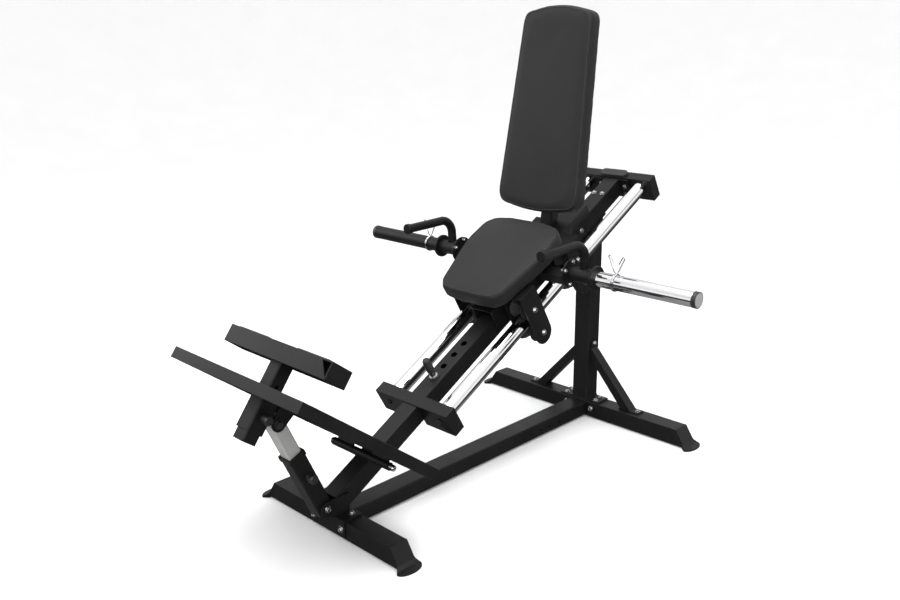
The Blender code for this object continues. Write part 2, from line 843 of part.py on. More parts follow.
def hingeLeaf(name, side):
    """Outer knuckle of the footplate hinge with the leg that is welded to the plate."""
    low = 0.0345
    span = sorted((side * low, side * hingeHalf))
    centre = (hingeS, hingeN)
    body = turned(
        name,
        [
            (span[0], hingePin + 0.00005),
            (span[0], hingeRadius),
            (span[1], hingeRadius),
            (span[1], hingePin + 0.00005),
        ],
        rail,
        "black",
        28,
        0,
        centre,
    )
    axis = plate.inverted() @ (rail @ Vector((0.0, hingeS, hingeN)))
    legSpan = sorted((side * (low + 0.010), side * (hingeHalf - 0.014)))
    leg = box(
        name + "_leg",
        (legSpan[0], axis[1] - 0.0055, axis[2] + hingePin + 0.0025),
        (legSpan[1], axis[1] + 0.0015, -plateSheet - gap),
        plate,
    )
    weld(body, leg)


def hingeKnuckle():
    """Middle knuckle welded on the rail."""
    centre = (hingeS, hingeN)
    profile = [
        (-0.0338, hingePin + 0.00005),
        (-0.0338, hingeRadius),
        (0.0338, hingeRadius),
        (0.0338, hingePin + 0.00005),
    ]
    body = turned("hinge_knuckle", profile, rail, "black", 28, 0, centre)
    top = hingeN - hingePin - 0.002
    foot = box("hinge_foot", (-0.030, hingeS - 0.010, gap), (0.030, hingeS + 0.010, top), rail)
    weld(body, foot)


def hingePinPart():
    reach = hingeHalf + 0.0008
    head = reach + 0.013
    profile = [
        (-reach - 0.006, 0.0),
        (-reach - 0.006, 0.010),
        (-reach, 0.010),
        (-reach, hingePin),
        (reach, hingePin),
        (reach, 0.010),
        (head, 0.010),
        (head, 0.0),
    ]
    turned("hinge_pin", profile, rail, "zinc", 28, 0, (hingeS, hingeN))


def strutOuter():
    """Square tube on the base pivot, with a thicker collar round its mouth."""
    body = hollowBar("strut_outer", (0.0, 0.0), (strutHalf, strutHalf), (-0.020, strutTop), 2, 0.0035, strut)
    wide = strutHalf + 0.003
    mouth = (strutTop - 0.018, strutTop - 0.001)
    collar = hollowBar("strut_collar", (0.0, 0.0), (wide, wide), mouth, 2, 0.005, strut)
    weld(body, collar)
    cut(body, rod("strut_bore", -0.05, 0.05, 0.0061, 0, (0.0, 0.0), strut))
    cut(body, rod("strut_knob_bore", 0.01, 0.05, 0.0066, 0, (0.0, strutKnobT), strut))


def strutInner():
    """Sliding square tube with adjusting holes and the cross pin that rides in the ears."""
    pin = strut.inverted() @ (plate @ Vector((0.0, earPin[0], earPin[1])))
    top = pin[2] + 0.012
    half = (innerHalf, innerHalf)
    body = hollowBar("strut_inner", (0.0, 0.0), half, (0.085, top), 2, 0.003, strut, "silver")
    weld(body, rod("strut_cross_pin", -0.0315, 0.0315, 0.005, 0, (pin[1], pin[2]), strut))
    for n in range(4):
        spot = (0.0, strutKnobT + 0.030 * (n - 1))
        cut(body, rod("strut_hole_%d" % n, 0.01, 0.05, 0.0052, 0, spot, strut, segments=12))


def pullKnob(name, frame, across, spot, tip):
    """Spring pin with a round knob, sliding out along X."""
    profile = [
        (tip, 0.0),
        (tip, 0.0042),
        (across + 0.0003, 0.0042),
        (across + 0.0003, 0.0105),
        (across + 0.0060, 0.0105),
        (across + 0.0080, 0.0075),
        (across + 0.0110, 0.0140),
        (across + 0.0300, 0.0150),
        (across + 0.0330, 0.0120),
        (across + 0.0330, 0.0),
    ]
    turned(name, profile, frame, "plastic", 24, 0, spot)


def calfBlock():
    """Folded block above the footplate with an open corner relief at its right end."""
    low = blockTop - blockDepth
    body = box("calf_block", (-blockHalf, blockSpan[0], low), (blockHalf, blockSpan[1], blockTop), plate)
    soften(body, 0.0012)
    inner = box(
        "calf_inner",
        (-blockHalf + 0.004, blockSpan[0] + 0.004, low - 0.05),
        (blockHalf - 0.004, blockSpan[1] - 0.004, blockTop - 0.004),
        plate,
    )
    end = blockHalf - 0.0045
    top = blockTop - 0.0045
    relief = [(end - 0.0375, top), (end, top), (end, low + 0.006)]
    cut(body, inner, prism("calf_relief", relief, blockSpan[0] - 0.01, blockSpan[0] + 0.01, 1, plate))


def calfPost():
    span = (postBottom, blockTop - 0.004 - gap)
    body = hollowBar("calf_post", (0.0, postS), (postHalf, postHalf), span, 2, 0.003, plate)
    for n in range(5):
        spot = (postS, -0.080 + 0.030 * (n - 1))
        cut(body, rod("post_hole_%d" % n, 0.01, 0.05, 0.0052, 0, spot, plate, segments=12))


def carry(name, spot, parts):
    """Empty on a joint's axis that carries the parts of one moving body."""
    axis = bpy.data.objects.new(name, None)
    axis.location = spot
    bpy.context.scene.collection.objects.link(axis)
    for part in parts:
        child = bpy.data.objects[part]
        child.parent = axis
        child.matrix_parent_inverse = Matrix.Translation(spot).inverted()


def carryMovingParts():
    carry("stop_pin_axis", rail @ Vector((0.0, pinHoles[0], 0.0)), ("stop_pin", "stop_knob"))
    carriage = ["carriage_frame", "seat_board", "seat_pad", "back_post", "back_board", "back_pad"]
    for word, side in sides():
        carriage = carriage + ["horn_arm_" + word, "horn_sleeve_" + word, "handle_" + word]
        for level, s in (("lower", lowerRollers), ("upper", upperRollers)):
            carriage.append("roller_bracket_%s_%s" % (level, word))
            for place, direction in (("top", 1), ("under", -1)):
                name = "roller_%s_%s_%s" % (level, word, place)
                spot = Vector((side * tubeX, s, tubeN + direction * axleReach))
                carry(name + "_axis", rail @ spot, (name,))
        spot = rail @ Vector((side * collarX, hornS, hornN))
        carry("collar_axis_" + word, spot, ("spring_collar_" + word,))
    carry("carriage_axis", rail @ Vector((0.0, carriageSpan[0], 0.0)), carriage)
    tray = ["footplate", "footplate_sleeve", "footplate_ears", "hinge_leaf_left", "hinge_leaf_right"]
    carry("footplate_axis", rail @ Vector((0.0, hingeS, hingeN)), tray)
    carry("calf_axis", plate @ Vector((0.0, postS, 0.0)), ("calf_block", "calf_post"))
    carry("calf_pull_axis", plate @ Vector((sleeveHalf, postS, -0.080)), ("calf_knob",))
    carry("strut_axis", strutPivot, ("strut_outer",))
    carry("strut_slide_axis", strut @ Vector((0.0, 0.0, strutTop)), ("strut_inner",))
    carry("strut_pull_axis", strut @ Vector((strutHalf, 0.0, strutKnobT)), ("strut_knob",))


def build():
    clearScene()
    stabilisersAndFeet()
    baseBeam()
    frontBracket()
    strutPivotPin()
    upright()
    mainRail()
    crossbar("lower_crossbar", lowerBar, barHalf, True)
    crossbar("upper_crossbar", upperBar, barHalf, False)
    topBumper()
    stopPin()
    carriageFrame()
    carriageRollers()
    seat()
    backrest()
    backPost()
    footplate()
    footplateSleeve()
    footplateEars()
    hingeKnuckle()
    hingePinPart()
    strutOuter()
    strutInner()
    pullKnob("strut_knob", strut, strutHalf, (0.0, strutKnobT), innerHalf + gap)
    calfBlock()
    calfPost()
    pullKnob("calf_knob", plate, sleeveHalf, (postS, -0.080), postHalf + gap)
    for word, side in sides():
        brace("brace_" + word, side)
        guideTube("guide_tube_" + word, side)
        hornArm("horn_arm_" + word, side)
        hornSleeve("horn_sleeve_" + word, side, "chrome" if side > 0 else "black")
        handle("handle_" + word, side)
        springCollar("spring_collar_" + word, side)
        hingeLeaf("hinge_leaf_" + word, side)
    carryMovingParts()


build()
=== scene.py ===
import json
import math

import bmesh
import bpy
from mathutils import Matrix, Vector, noise
from mathutils.bvhtree import BVHTree

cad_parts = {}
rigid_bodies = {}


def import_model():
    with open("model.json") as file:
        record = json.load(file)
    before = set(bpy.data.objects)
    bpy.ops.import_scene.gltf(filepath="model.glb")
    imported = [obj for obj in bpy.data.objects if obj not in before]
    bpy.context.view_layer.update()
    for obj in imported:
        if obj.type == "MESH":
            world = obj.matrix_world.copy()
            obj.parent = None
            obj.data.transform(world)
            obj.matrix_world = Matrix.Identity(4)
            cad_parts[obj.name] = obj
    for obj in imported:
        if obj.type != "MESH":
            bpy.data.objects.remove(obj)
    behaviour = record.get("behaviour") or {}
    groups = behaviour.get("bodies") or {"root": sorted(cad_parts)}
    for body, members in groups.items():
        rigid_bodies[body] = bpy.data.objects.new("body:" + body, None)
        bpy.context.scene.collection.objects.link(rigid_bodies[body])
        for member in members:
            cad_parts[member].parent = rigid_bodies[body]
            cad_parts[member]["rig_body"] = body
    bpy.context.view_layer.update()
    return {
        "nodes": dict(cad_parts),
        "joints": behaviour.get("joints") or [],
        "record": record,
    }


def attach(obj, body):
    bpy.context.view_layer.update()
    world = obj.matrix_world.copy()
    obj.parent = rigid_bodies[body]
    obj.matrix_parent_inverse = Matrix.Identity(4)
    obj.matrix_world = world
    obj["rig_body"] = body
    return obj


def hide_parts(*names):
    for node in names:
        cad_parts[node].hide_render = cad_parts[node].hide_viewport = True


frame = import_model()
nodes = frame["nodes"]
joints = {joint["name"]: joint for joint in frame["joints"]}
across = Vector((1, 0, 0))
print("frame loaded,", len(nodes), "nodes")


# directions of the machine, read from its joints

def axes(origin, second, third):
    turn = Matrix((across, second, third)).transposed().to_4x4()
    return Matrix.Translation(origin) @ turn


def jointAxis(name):
    return Vector(joints[name]["axis"]).normalized()


def jointSpot(name):
    return Vector(joints[name]["pos_m"])


railOut = jointAxis("stop_pin_lift")
plateOut = jointAxis("calf_slide")
hinge = jointSpot("footplate_hinge")
rail = axes(hinge, railOut.cross(across), railOut)          # X, up the rail, out of its top
plate = axes(hinge, plateOut.cross(across), plateOut)       # X, down the plate, out of its top
world = Matrix.Identity(4)


def span(name, space=world):
    turned = [space.inverted() @ v.co for v in nodes[name].data.vertices]
    low = Vector([min(v[k] for v in turned) for k in range(3)])
    high = Vector([max(v[k] for v in turned) for k in range(3)])
    return low, high


def middle(name, space=world):
    low, high = span(name, space)
    return (low + high) / 2


def faceDirection(name):
    widest = max(nodes[name].data.polygons, key=lambda face: face.area)
    return widest.normal.copy()


padOut = faceDirection("back_pad")
if padOut.y > 0:
    padOut = -padOut
back = axes(middle("back_pad"), -padOut, across.cross(-padOut))         # X, into the pad, up it
seatOut = faceDirection("seat_pad")
if seatOut.z < 0:
    seatOut = -seatOut
seatSpace = axes(middle("seat_pad"), seatOut.cross(across), seatOut)    # X, up the seat, out of it
sides = (("left", -1), ("right", 1))


# shader maths

class Sock:
    # an output socket that takes part in sums
    def __init__(self, recipe, socket):
        self.recipe = recipe
        self.socket = socket

    def sum(self, operation, first, second):
        return self.recipe.add("ShaderNodeMath", {"operation": operation}, {0: first, 1: second})

    def __add__(self, other):
        return self.sum("ADD", self, other)

    def __radd__(self, other):
        return self.sum("ADD", other, self)

    def __sub__(self, other):
        return self.sum("SUBTRACT", self, other)

    def __rsub__(self, other):
        return self.sum("SUBTRACT", other, self)

    def __mul__(self, other):
        return self.sum("MULTIPLY", self, other)

    def __rmul__(self, other):
        return self.sum("MULTIPLY", other, self)


class Recipe:
    # one material and the nodes that feed its surface
    def __init__(self, name, values):
        self.material = bpy.data.materials.new(name)
        self.material.use_nodes = True
        self.tree = self.material.node_tree
        self.surface = self.tree.nodes["Principled BSDF"]
        for socket, value in values.items():
            self.surface.inputs[socket].default_value = value
        self.where = self.add("ShaderNodeTexCoord", {}, {}, "Object")

    def add(self, kind, settings, inputs, output=0):
        node = self.tree.nodes.new(kind)
        for key, value in settings.items():
            setattr(node, key, value)
        for key, value in inputs.items():
            self.feed(node.inputs[key], value)
        return Sock(self, node.outputs[output])

    def feed(self, socket, value):
        if isinstance(value, Sock):
            self.tree.links.new(value.socket, socket)
        else:
            socket.default_value = value

    def noise(self, scale, detail=3.0, roughness=0.55, where=None):
        values = {"Scale": scale, "Detail": detail, "Roughness": roughness}
        values["Vector"] = where or self.where
        return self.add("ShaderNodeTexNoise", {}, values, "Fac")

    def cells(self, scale, feature="F1"):
        values = {"Scale": scale, "Vector": self.where}
        return self.add("ShaderNodeTexVoronoi", {"feature": feature}, values, "Distance")

    def ramp(self, value, low, high):
        inputs = {"Value": value, "From Min": low, "From Max": high}
        return self.add("ShaderNodeMapRange", {"clamp": True}, inputs)

    def blend(self, factor, first, second):
        inputs = {"Factor": factor, "A": (*first, 1.0), "B": (*second, 1.0)}
        return self.mixColours(inputs)

    def mixColours(self, inputs):
        node = self.tree.nodes.new("ShaderNodeMix")
        node.data_type = "RGBA"
        sockets = {"Factor": node.inputs[0], "A": node.inputs[6], "B": node.inputs[7]}
        for key, value in inputs.items():
            self.feed(sockets[key], value)
        return Sock(self, node.outputs[2])

    def stretch(self, scale):
        inputs = {"Vector": self.where, "Scale": scale}
        return self.add("ShaderNodeMapping", {}, inputs, "Vector")

    def bump(self, height, depth, strength):
        inputs = {"Height": height, "Distance": depth, "Strength": strength}
        return self.add("ShaderNodeBump", {}, inputs, "Normal")

    def done(self, colour, roughness, normal):
        self.feed(self.surface.inputs["Base Color"], colour)
        self.feed(self.surface.inputs["Roughness"], roughness)
        self.feed(self.surface.inputs["Normal"], normal)
        return self.material


# finishes

powder = {
    "dark": (0.0058, 0.0058, 0.0060), "light": (0.0098, 0.0098, 0.0100),
    "gloss": 0.40, "rough": 0.50, "grain": 900, "peel": 0.00022,
}
vinyl = {
    "dark": (0.0080, 0.0080, 0.0082), "light": (0.0112, 0.0112, 0.0114),
    "gloss": 0.50, "rough": 0.66, "grain": 620, "crease": 55, "depth": 0.00028,
}
thread = {"dark": (0.010, 0.010, 0.010), "light": (0.022, 0.022, 0.022), "rough": 0.62}
chrome = {"bright": (0.86, 0.86, 0.87), "dull": (0.70, 0.70, 0.72), "gloss": 0.045, "rough": 0.12}
zinc = {"bright": (0.50, 0.50, 0.51), "dull": (0.30, 0.30, 0.31), "gloss": 0.20, "rough": 0.36}
wire = {"bright": (0.52, 0.52, 0.53), "dull": (0.34, 0.34, 0.35), "gloss": 0.16, "rough": 0.30}
rubber = {"dark": (0.010, 0.010, 0.010), "light": (0.022, 0.022, 0.022), "gloss": 0.55, "rough": 0.78}
plastic = {"dark": (0.012, 0.012, 0.013), "light": (0.020, 0.020, 0.021), "gloss": 0.30, "rough": 0.46}
silver = {"dark": (0.36, 0.36, 0.35), "light": (0.43, 0.43, 0.42), "gloss": 0.34, "rough": 0.46}
board = {"dark": (0.016, 0.014, 0.012), "light": (0.035, 0.031, 0.027), "rough": 0.70}


def powderCoat():
    # satin black powder coat: a fine orange peel, soft cloudy gloss and a trace of dust
    coat = Recipe("satinBlackPowderCoat", {"Specular IOR Level": 0.20})
    cloud = coat.ramp(coat.noise(7.0, 5.0), 0.35, 0.70)
    speck = coat.ramp(coat.noise(powder["grain"], 2.0), 0.58, 0.74)
    dust = coat.ramp(coat.noise(46.0, 6.0, 0.7), 0.55, 0.85)
    colour = coat.blend(cloud * 0.6 + speck * 0.4, powder["dark"], powder["light"])
    rough = powder["gloss"] + (powder["rough"] - powder["gloss"]) * cloud + 0.08 * dust
    peel = coat.noise(powder["grain"] * 0.55, 2.0) + 0.5 * coat.noise(powder["grain"] * 1.6, 1.0)
    return coat.done(colour, rough, coat.bump(peel, powder["peel"], 0.30))


def padVinyl():
    # leather-grain vinyl: pebbles between fine creases, over slow dents in the foam
    fixed = {"Specular IOR Level": 0.24, "Sheen Weight": 0.03, "Sheen Roughness": 0.5}
    skin = Recipe("charcoalVinyl", fixed)
    warp = skin.noise(150.0, 2.0)
    pebble = skin.cells(vinyl["grain"])
    crease = skin.ramp(skin.cells(vinyl["grain"] * 0.55, "DISTANCE_TO_EDGE"), 0.0, 0.16)
    soft = skin.ramp(skin.noise(vinyl["crease"], 4.0), 0.30, 0.75)
    wear = skin.ramp(skin.noise(4.0, 4.0, 0.6), 0.35, 0.75)
    colour = skin.blend(wear * 0.7 + warp * 0.3, vinyl["dark"], vinyl["light"])
    rough = vinyl["rough"] - (vinyl["rough"] - vinyl["gloss"]) * (crease * (0.5 + 0.5 * wear))
    height = crease * 0.7 + (1 - pebble) * 0.3 + soft * 0.6
    return skin.done(colour, rough, skin.bump(height, vinyl["depth"], 0.35))


def seamThread():
    # twisted cord under stretched vinyl
    cord = Recipe("seamVinyl", {"Specular IOR Level": 0.35})
    fibre = cord.noise(1400.0, 2.0)
    colour = cord.blend(fibre, thread["dark"], thread["light"])
    return cord.done(colour, thread["rough"] + 0.12 * fibre, cord.bump(fibre, 0.0002, 0.5))


def brightMetal(name, values, along, streaks):
    # plated steel: long polishing marks, faint water marks and pinpoints
    metal = Recipe(name, {"Metallic": 1.0})
    marks = metal.noise(streaks, 3.0, 0.6, metal.stretch(along))
    haze = metal.ramp(metal.noise(9.0, 5.0), 0.42, 0.80)
    pits = metal.ramp(metal.noise(420.0, 1.0), 0.68, 0.78)
    colour = metal.blend(haze * 0.5 + marks * 0.35 + pits * 0.4, values["bright"], values["dull"])
    rough = values["gloss"] + (values["rough"] - values["gloss"]) * (haze * 0.6 + marks * 0.4)
    return metal.done(colour, rough, metal.bump(marks + 0.3 * pits, 0.00006, 0.25))


def softBlack(name, values, grain, depth):
    # moulded rubber or plastic with a matt skin
    skin = Recipe(name, {"Specular IOR Level": 0.45})
    cloud = skin.ramp(skin.noise(20.0, 4.0), 0.30, 0.75)
    fine = skin.noise(grain, 3.0)
    colour = skin.blend(cloud * 0.6 + fine * 0.4, values["dark"], values["light"])
    rough = values["gloss"] + (values["rough"] - values["gloss"]) * (cloud * 0.5 + fine * 0.5)
    return skin.done(colour, rough, skin.bump(fine, depth, 0.4))


def silverPaint():
    # light grey lacquer over steel, rubbed a little along its length
    coat = Recipe("lightGreyLacquer", {"Metallic": 0.35, "Coat Roughness": 0.3})
    rub = coat.noise(60.0, 4.0, 0.6, coat.stretch((1.0, 1.0, 0.12)))
    cloud = coat.ramp(coat.noise(12.0, 4.0), 0.35, 0.75)
    fine = coat.noise(1100.0, 1.0)
    colour = coat.blend(rub * 0.5 + cloud * 0.5, silver["dark"], silver["light"])
    rough = silver["gloss"] + (silver["rough"] - silver["gloss"]) * (cloud * 0.6 + rub * 0.4)
    return coat.done(colour, rough, coat.bump(fine, 0.0001, 0.25))


def stainedBoard():
    # black stained plywood: long grain with pores
    ply = Recipe("blackStainedPlywood", {"Specular IOR Level": 0.3})
    grain = ply.noise(38.0, 6.0, 0.65, ply.stretch((1.0, 0.10, 0.10)))
    pores = ply.ramp(ply.noise(260.0, 2.0, 0.5, ply.stretch((1.0, 0.06, 0.06))), 0.58, 0.72)
    colour = ply.blend(grain - pores * 0.4, board["dark"], board["light"])
    return ply.done(colour, board["rough"] + 0.15 * pores, ply.bump(grain - pores, 0.0004, 0.5))


finishes = {
    "black": powderCoat(),
    "vinyl": padVinyl(),
    "seam": seamThread(),
    "chrome": brightMetal("polishedChrome", chrome, (1.0, 1.0, 1.0), 90.0),
    "zinc": brightMetal("zincPlate", zinc, (1.0, 1.0, 1.0), 240.0),
    "wire": brightMetal("springWire", wire, (1.0, 1.0, 1.0), 300.0),
    "rubber": softBlack("mattRubber", rubber, 700.0, 0.0003),
    "plastic": softBlack("mouldedPlastic", plastic, 1200.0, 0.00012),
    "silver": silverPaint(),
    "wood": stainedBoard(),
}
print("finishes made,", len(finishes))


# mesh helpers

def finishPiece(shape, name, finish, body, crisp=32):
    bmesh.ops.remove_doubles(shape, verts=shape.verts, dist=1e-6)
    bmesh.ops.recalc_face_normals(shape, faces=shape.faces)
    mesh = bpy.data.meshes.new(name)
    shape.to_mesh(mesh)
    shape.free()
    mesh.shade_smooth()
    mesh.set_sharp_from_angle(angle=math.radians(crisp))
    mesh.materials.append(finishes[finish])
    piece = bpy.data.objects.new(name, mesh)
    bpy.context.scene.collection.objects.link(piece)
    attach(piece, body)
    return piece


def joinRings(shape, rings, closed=False):
    pairs = list(zip(rings, rings[1:]))
    if closed:
        pairs.append((rings[-1], rings[0]))
    for first, second in pairs:
        if len(first) == 1 and len(second) == 1:
            continue
        count = max(len(first), len(second))
        for n in range(count):
            after = (n + 1) % count
            corners = [first[n % len(first)], first[after % len(first)]]
            corners = corners + [second[after % len(second)], second[n % len(second)]]
            shape.faces.new(list(dict.fromkeys(corners)))


def addTurned(shape, profile, space, steps=48, sides=None):
    # revolves (radius, height) points about the local Z axis; sides=6 makes a hexagon of the circle
    rings = []
    for radius, height in profile:
        if radius < 1e-7:
            rings.append([shape.verts.new(space @ Vector((0, 0, height)))])
            continue
        ring = []
        for n in range(steps):
            turn = 2 * math.pi * n / steps
            reach = radius
            if sides:
                half = math.pi / sides
                reach = radius * math.cos(half) / math.cos(turn % (2 * half) - half)
            spot = Vector((reach * math.cos(turn), reach * math.sin(turn), height))
            ring.append(shape.verts.new(space @ spot))
        rings.append(ring)
    joinRings(shape, rings)


def facing(spot, direction):
    # a space at spot whose Z axis points along direction
    return Matrix.Translation(spot) @ Vector(direction).to_track_quat("Z", "Y").to_matrix().to_4x4()


def sweep(shape, points, radiusAt, sides=12, closed=False):
    # tube along a smooth route of points; radiusAt(share) gives its radius
    count = len(points)
    rings = []
    normal = None
    for n, point in enumerate(points):
        before = points[(n - 1) % count] if closed or n > 0 else point
        after = points[(n + 1) % count] if closed or n < count - 1 else point
        along = (after - before).normalized()
        if normal is None:
            normal = along.orthogonal().normalized()
        normal = (normal - along * normal.dot(along)).normalized()
        binormal = along.cross(normal)
        radius = radiusAt(n / max(count - 1, 1))
        ring = []
        for k in range(sides):
            turn = 2 * math.pi * k / sides
            way = normal * math.cos(turn) + binormal * math.sin(turn)
            ring.append(shape.verts.new(point + way * radius))
        rings.append(ring)
    joinRings(shape, rings, closed)
    if not closed:
        shape.faces.new(rings[0])
        shape.faces.new(rings[-1])


# CAD nodes that keep their shape

def coatNodes():
    slots = {part["node"]: part["material_slot"] for part in frame["record"]["subparts"]}
    for name, node in nodes.items():
        node.data.materials.clear()
        node.data.materials.append(finishes[slots[name]])


coatNodes()
bodyOf = {name: node["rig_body"] for name, node in nodes.items()}
print("CAD nodes coated")


# cushions

cushion = {
    "voxel": 0.0045, "shrink": 0.0015, "shrinkDepth": 0.001, "held": 0.010,
    "pressure": 4.0, "stiff": 80, "bend": 30, "frames": 14, "cap": 0.005, "calm": 10, "fill": 0.85,
}


def copyOf(name, piece):
    made = bpy.data.objects.new(piece, nodes[name].data.copy())
    bpy.context.scene.collection.objects.link(made)
    return made


def applyAll(piece):
    graph = bpy.context.evaluated_depsgraph_get()
    mesh = bpy.data.meshes.new_from_object(piece.evaluated_get(graph))
    piece.modifiers.clear()
    piece.data = mesh


def shrinkAlong(piece, space, amounts):
    # pulls each side of the block in by an amount in metres
    turned = [space.inverted() @ v.co for v in piece.data.vertices]
    centre = [(min(v[k] for v in turned) + max(v[k] for v in turned)) / 2 for k in range(3)]
    half = [(max(v[k] for v in turned) - min(v[k] for v in turned)) / 2 for k in range(3)]
    for vertex, local in zip(piece.data.vertices, turned):
        moved = [centre[k] + (local[k] - centre[k]) * (1 - amounts[k] / half[k]) for k in range(3)]
        vertex.co = space @ Vector(moved)


def inflate(piece, fixed):
    # fills the cover with foam: the cloth swells, and fixed(point) holds the board side
    rest = [v.co.copy() for v in piece.data.vertices]
    group = piece.vertex_groups.new(name="held")
    for vertex in piece.data.vertices:
        if fixed(vertex.co):
            group.add([vertex.index], 1.0, "REPLACE")
    cloth = piece.modifiers.new("foam", "CLOTH")
    cloth.settings.use_pressure = True
    cloth.settings.uniform_pressure_force = cushion["pressure"]
    cloth.settings.effector_weights.gravity = 0
    cloth.settings.quality = 4
    cloth.settings.vertex_group_mass = "held"
    cloth.settings.tension_stiffness = cushion["stiff"]
    cloth.settings.compression_stiffness = cushion["stiff"]
    cloth.settings.bending_stiffness = cushion["bend"]
    cloth.point_cache.frame_start = 1
    cloth.point_cache.frame_end = cushion["frames"]
    for step in range(1, cushion["frames"] + 1):
        bpy.context.scene.frame_set(step)
    applyAll(piece)
    for vertex, start in zip(piece.data.vertices, rest):
        move = vertex.co - start
        if move.length > cushion["cap"]:
            vertex.co = start + move.normalized() * cushion["cap"]
    bpy.context.scene.frame_set(1)
    shape = bmesh.new()
    shape.from_mesh(piece.data)
    ways = {"use_axis_x": True, "use_axis_y": True, "use_axis_z": True}
    for times in range(cushion["calm"]):
        bmesh.ops.smooth_vert(shape, verts=shape.verts, factor=0.5, **ways)
    shape.to_mesh(piece.data)
    shape.free()


def fitOutline(piece, space, low, high, flat):
    # brings the pad's outline back to its block's size; flat is the axis through its thickness
    turned = [space.inverted() @ v.co for v in piece.data.vertices]
    start = [min(v[k] for v in turned) for k in range(3)]
    end = [max(v[k] for v in turned) for k in range(3)]
    for vertex, local in zip(piece.data.vertices, turned):
        for k in range(3):
            if k != flat:
                local[k] = low[k] + (local[k] - start[k]) / (end[k] - start[k]) * (high[k] - low[k])
        vertex.co = space @ local


def padFrom(name, piece, space, amounts, flat, fixed):
    pad = copyOf(name, piece)
    weld = pad.modifiers.new("weld", "WELD")
    weld.merge_threshold = 0.0001
    applyAll(pad)
    shrinkAlong(pad, space, amounts)
    remesh = pad.modifiers.new("skin", "REMESH")
    remesh.mode = "VOXEL"
    remesh.voxel_size = cushion["voxel"]
    applyAll(pad)
    inflate(pad, fixed)
    low, high = span(name, space)
    fitOutline(pad, space, low, high, flat)
    finer = pad.modifiers.new("finer", "SUBSURF")
    finer.levels = 1
    finer.render_levels = 1
    applyAll(pad)
    pad.data.materials.clear()
    pad.data.materials.append(finishes["vinyl"])
    pad.data.shade_smooth()
    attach(pad, "carriage")
    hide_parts(name)
    return pad


def makePads():
    shrink = cushion["shrink"]
    depth = cushion["shrinkDepth"]
    seatFloor = span("seat_pad", seatSpace)[0].z + cushion["held"]
    backFloor = span("back_pad", back)[1].y - cushion["held"]
    toSeat = seatSpace.inverted()
    toBack = back.inverted()
    seat = padFrom(
        "seat_pad", "seatCushion", seatSpace, (shrink, shrink, depth), 2,
        lambda p: (toSeat @ p).z < seatFloor,
    )
    rest = padFrom(
        "back_pad", "backCushion", back, (shrink, depth, shrink), 1,
        lambda p: (toBack @ p).y > backFloor,
    )
    return seat, rest


seatCushion, backCushion = makePads()
print("cushions filled")


# welts of the cushions

seam = {
    "cord": 0.0019, "inset": 0.0025, "lift": 0.0009, "steps": 240,
    "rim": 0.0008, "drop": 0.06, "reach": 0.14,
}


def surfaceTree(piece):
    graph = bpy.context.evaluated_depsgraph_get()
    return BVHTree.FromObject(piece, graph)


def layOn(tree, point, direction, lift):
    # drops a point along direction onto the cushion and lifts it a little off the skin
    start = point - direction * seam["drop"]
    hit, normal, index, far = tree.ray_cast(start, direction, seam["reach"])
    if hit is None:
        return None
    return hit + normal * lift


def outlineOf(name, space, wide, tall, level, inset):
    # outline of the pad at one depth, as an ordered ring drawn in from the edge
    flat = []
    inverse = space.inverted()
    for vertex in nodes[name].data.vertices:
        local = inverse @ vertex.co
        if level(local):
            flat.append((local[wide], local[tall]))
    cx = (min(a for a, b in flat) + max(a for a, b in flat)) / 2
    cy = (min(b for a, b in flat) + max(b for a, b in flat)) / 2
    flat = sorted(set(flat), key=lambda spot: math.atan2(spot[1] - cy, spot[0] - cx))
    ring = []
    for a, b in flat:
        reach = math.hypot(a - cx, b - cy)
        ring.append((cx + (a - cx) * (1 - inset / reach), cy + (b - cy) * (1 - inset / reach)))
    return ring


def evenRing(ring, count):
    # the same ring with evenly spaced points, rounded by averaging neighbours
    lengths = [math.dist(ring[n], ring[(n + 1) % len(ring)]) for n in range(len(ring))]
    total = sum(lengths)
    spots = []
    part = 0
    gone = 0.0
    for n in range(count):
        goal = total * n / count
        while gone + lengths[part] < goal:
            gone += lengths[part]
            part += 1
        share = (goal - gone) / lengths[part]
        first = ring[part]
        second = ring[(part + 1) % len(ring)]
        spots.append((first[0] + (second[0] - first[0]) * share, first[1] + (second[1] - first[1]) * share))
    for turn in range(3):
        rounded = []
        for n in range(count):
            before, here, after = spots[n - 1], spots[n], spots[(n + 1) % count]
            rounded.append(tuple((before[k] + 2 * here[k] + after[k]) / 4 for k in range(2)))
        spots = rounded
    return spots


def addSeam(cushionPiece, name, node, space, wide, tall, level, direction):
    tree = surfaceTree(cushionPiece)
    ring = evenRing(outlineOf(node, space, wide, tall, level, seam["inset"]), seam["steps"])
    turn = space.to_3x3()
    route = []
    for a, b in ring:
        local = Vector((0.0, 0.0, 0.0))
        local[wide] = a
        local[tall] = b
        spot = layOn(tree, space @ local, turn @ direction, seam["lift"] - seam["cord"] * 0.5)
        if spot is not None:
            route.append(spot)
    for times in range(2):
        count = len(route)
        route = [(route[n - 1] + route[n] * 2 + route[(n + 1) % count]) / 4 for n in range(count)]
    shape = bmesh.new()
    sweep(shape, route, lambda share: seam["cord"], 8, True)
    finishPiece(shape, name, "seam", "carriage")


def makeSeams():
    seatTop = span("seat_pad", seatSpace)[1].z - seam["rim"]
    backFront = span("back_pad", back)[0].y + seam["rim"]
    addSeam(
        seatCushion, "seatWelt", "seat_pad", seatSpace, 0, 1,
        lambda p: p.z > seatTop, Vector((0, 0, -1)),
    )
    addSeam(
        backCushion, "backWelt", "back_pad", back, 0, 2,
        lambda p: p.y < backFront, Vector((0, 1, 0)),
    )


makeSeams()
print("seams laid")


# fasteners

